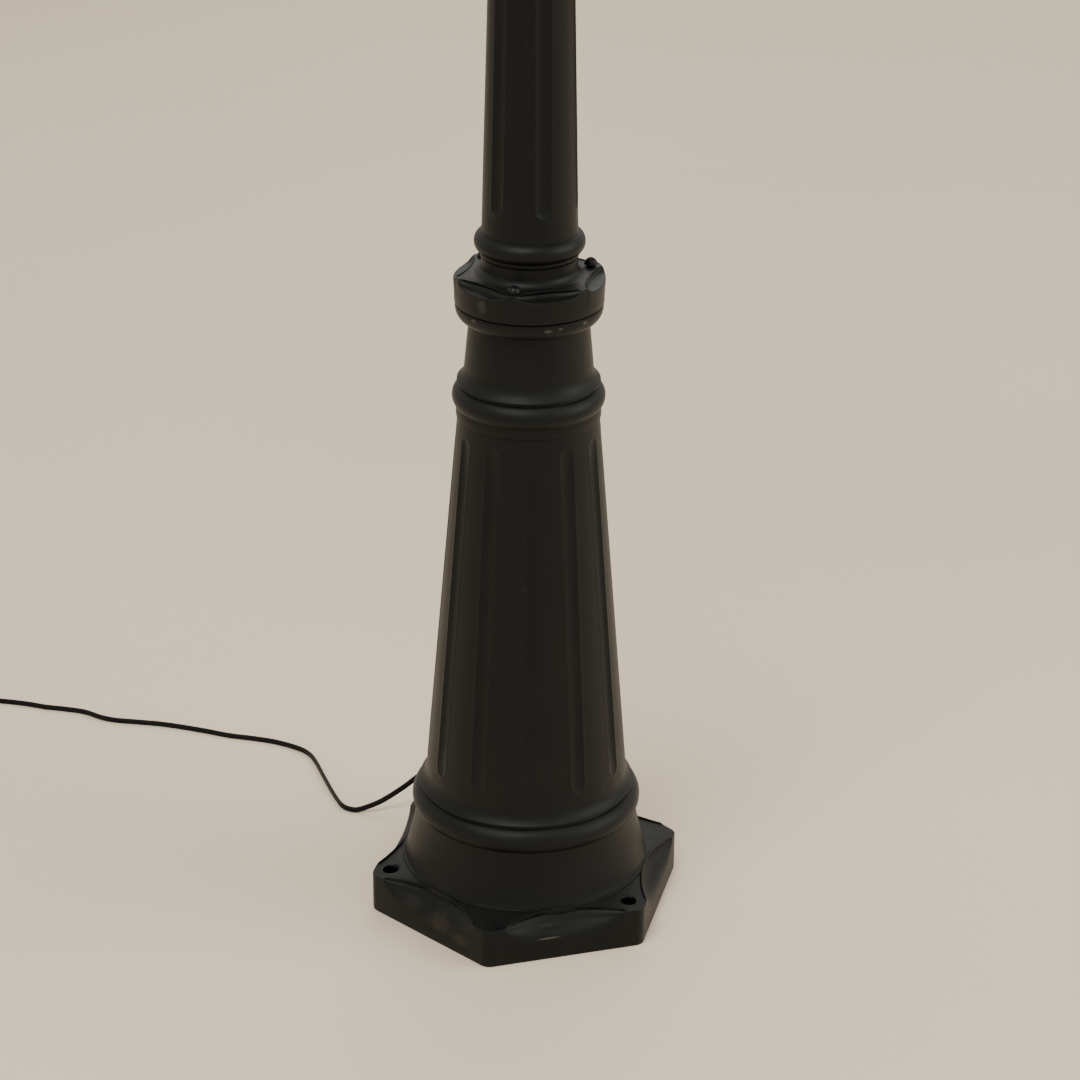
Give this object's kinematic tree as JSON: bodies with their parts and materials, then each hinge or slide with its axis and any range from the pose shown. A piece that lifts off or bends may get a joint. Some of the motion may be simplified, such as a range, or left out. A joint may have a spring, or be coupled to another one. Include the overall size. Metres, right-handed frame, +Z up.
{
  "type": "street clock",
  "caption": "Two-faced drum clock on a fluted cast post with a hexagonal base, hinged glazed bezels, working hands and a trailing mains cord.",
  "frame": {"origin": "centre of the hexagonal base's underside, on the ground", "axes": "+Z up along the post; the front dial faces -Y and the cord leaves the foot towards +Y"},
  "size_m": [0.779, 0.6551, 1.909],
  "materials": {
    "black_iron": "satin black powder coat",
    "black_alloy": "satin black powder coat",
    "black_screw": "blackened steel",
    "zinc_steel": "zinc plated",
    "black_plastic": "moulded",
    "grey_plastic": "moulded",
    "cream_plastic": "moulded",
    "white_cable": "sheathed",
    "black_flex": "smooth sheath",
    "black_rubber": "extruded",
    "dial_glass": "clear float glass",
    "opal_acrylic": "opal sheet",
    "black_hand": "satin black",
    "brass": "turned",
    "white_board": "solder mask"
  },
  "bodies": {
    "post": {"pedestal": "black_iron", "column": "black_alloy", "collar_screws": "black_screw", "capital": "black_alloy", "capital_set_screws": "zinc_steel", "head_bolts": "black_screw", "drum_case": "black_alloy", "finial": "black_alloy", "chassis_plate": "zinc_steel", "chassis_screws": "zinc_steel", "driver_box": "black_plastic", "riser_cable": "white_cable", "terminal_bracket": "zinc_steel", "bracket_screws": "zinc_steel", "terminal_block": "cream_plastic", "inner_lead": "black_flex", "cord_gland": "black_plastic", "strain_relief": "black_flex", "cord_tube": "black_flex", "cord_coil": "black_flex", "cord_tail": "black_flex", "plug": "black_plastic", "front_hinge_pin": "zinc_steel", "front_dial": "opal_acrylic", "front_dial_screws": "zinc_steel", "front_wheel_stud": "zinc_steel", "front_movement_case": "grey_plastic", "front_movement_screws": "zinc_steel", "front_motor": "zinc_steel", "front_led_panel": "white_board", "rear_hinge_pin": "zinc_steel", "rear_dial": "opal_acrylic", "rear_dial_screws": "zinc_steel", "rear_wheel_stud": "zinc_steel", "rear_movement_case": "grey_plastic", "rear_movement_screws": "zinc_steel", "rear_motor": "zinc_steel", "rear_led_panel": "white_board"},
    "front_bezel": {"front_bezel": "black_alloy", "front_glass": "dial_glass", "front_glass_bead": "black_rubber", "front_bezel_knob": "brass"},
    "front_minute": {"front_minute_arbor": "zinc_steel", "front_minute_hand": "black_hand", "front_hand_nut": "brass"},
    "front_hour": {"front_hour_pipe": "brass", "front_hour_hand": "black_hand"},
    "front_wheel": {"front_minute_wheel": "brass"},
    "rear_bezel": {"rear_bezel": "black_alloy", "rear_glass": "dial_glass", "rear_glass_bead": "black_rubber", "rear_bezel_knob": "brass"},
    "rear_minute": {"rear_minute_arbor": "zinc_steel", "rear_minute_hand": "black_hand", "rear_hand_nut": "brass"},
    "rear_hour": {"rear_hour_pipe": "brass", "rear_hour_hand": "black_hand"},
    "rear_wheel": {"rear_minute_wheel": "brass"}
  },
  "joints": [
    {"name": "front_bezel_hinge", "type": "hinge", "parent": "post", "child": "front_bezel", "pos_m": [-0.212, -0.074, 1.599], "axis": [0, 0, -1], "range_deg": [0, 110]},
    {"name": "front_minute_spin", "type": "hinge", "parent": "post", "child": "front_minute", "pos_m": [0, 0, 1.599], "axis": [0, 1, 0], "continuous": true},
    {"name": "front_wheel_spin", "type": "hinge", "parent": "post", "child": "front_wheel", "pos_m": [0, 0, 1.575], "axis": [0, 1, 0], "continuous": true},
    {"name": "front_hour_spin", "type": "hinge", "parent": "post", "child": "front_hour", "pos_m": [0, 0, 1.599], "axis": [0, 1, 0], "continuous": true},
    {"name": "rear_bezel_hinge", "type": "hinge", "parent": "post", "child": "rear_bezel", "pos_m": [0.212, 0.074, 1.599], "axis": [0, 0, -1], "range_deg": [0, 110]},
    {"name": "rear_minute_spin", "type": "hinge", "parent": "post", "child": "rear_minute", "pos_m": [0, 0, 1.599], "axis": [0, -1, 0], "continuous": true},
    {"name": "rear_wheel_spin", "type": "hinge", "parent": "post", "child": "rear_wheel", "pos_m": [0, 0, 1.575], "axis": [0, -1, 0], "continuous": true},
    {"name": "rear_hour_spin", "type": "hinge", "parent": "post", "child": "rear_hour", "pos_m": [0, 0, 1.599], "axis": [0, -1, 0], "continuous": true}
  ],
  "couplings": [
    {"joint": "front_wheel_spin", "follows": "front_minute_spin", "ratio": -0.33333},
    {"joint": "front_hour_spin", "follows": "front_minute_spin", "ratio": 0.083333},
    {"joint": "rear_minute_spin", "follows": "front_minute_spin", "ratio": 1},
    {"joint": "rear_wheel_spin", "follows": "front_minute_spin", "ratio": -0.33333},
    {"joint": "rear_hour_spin", "follows": "front_minute_spin", "ratio": 0.083333}
  ]
}
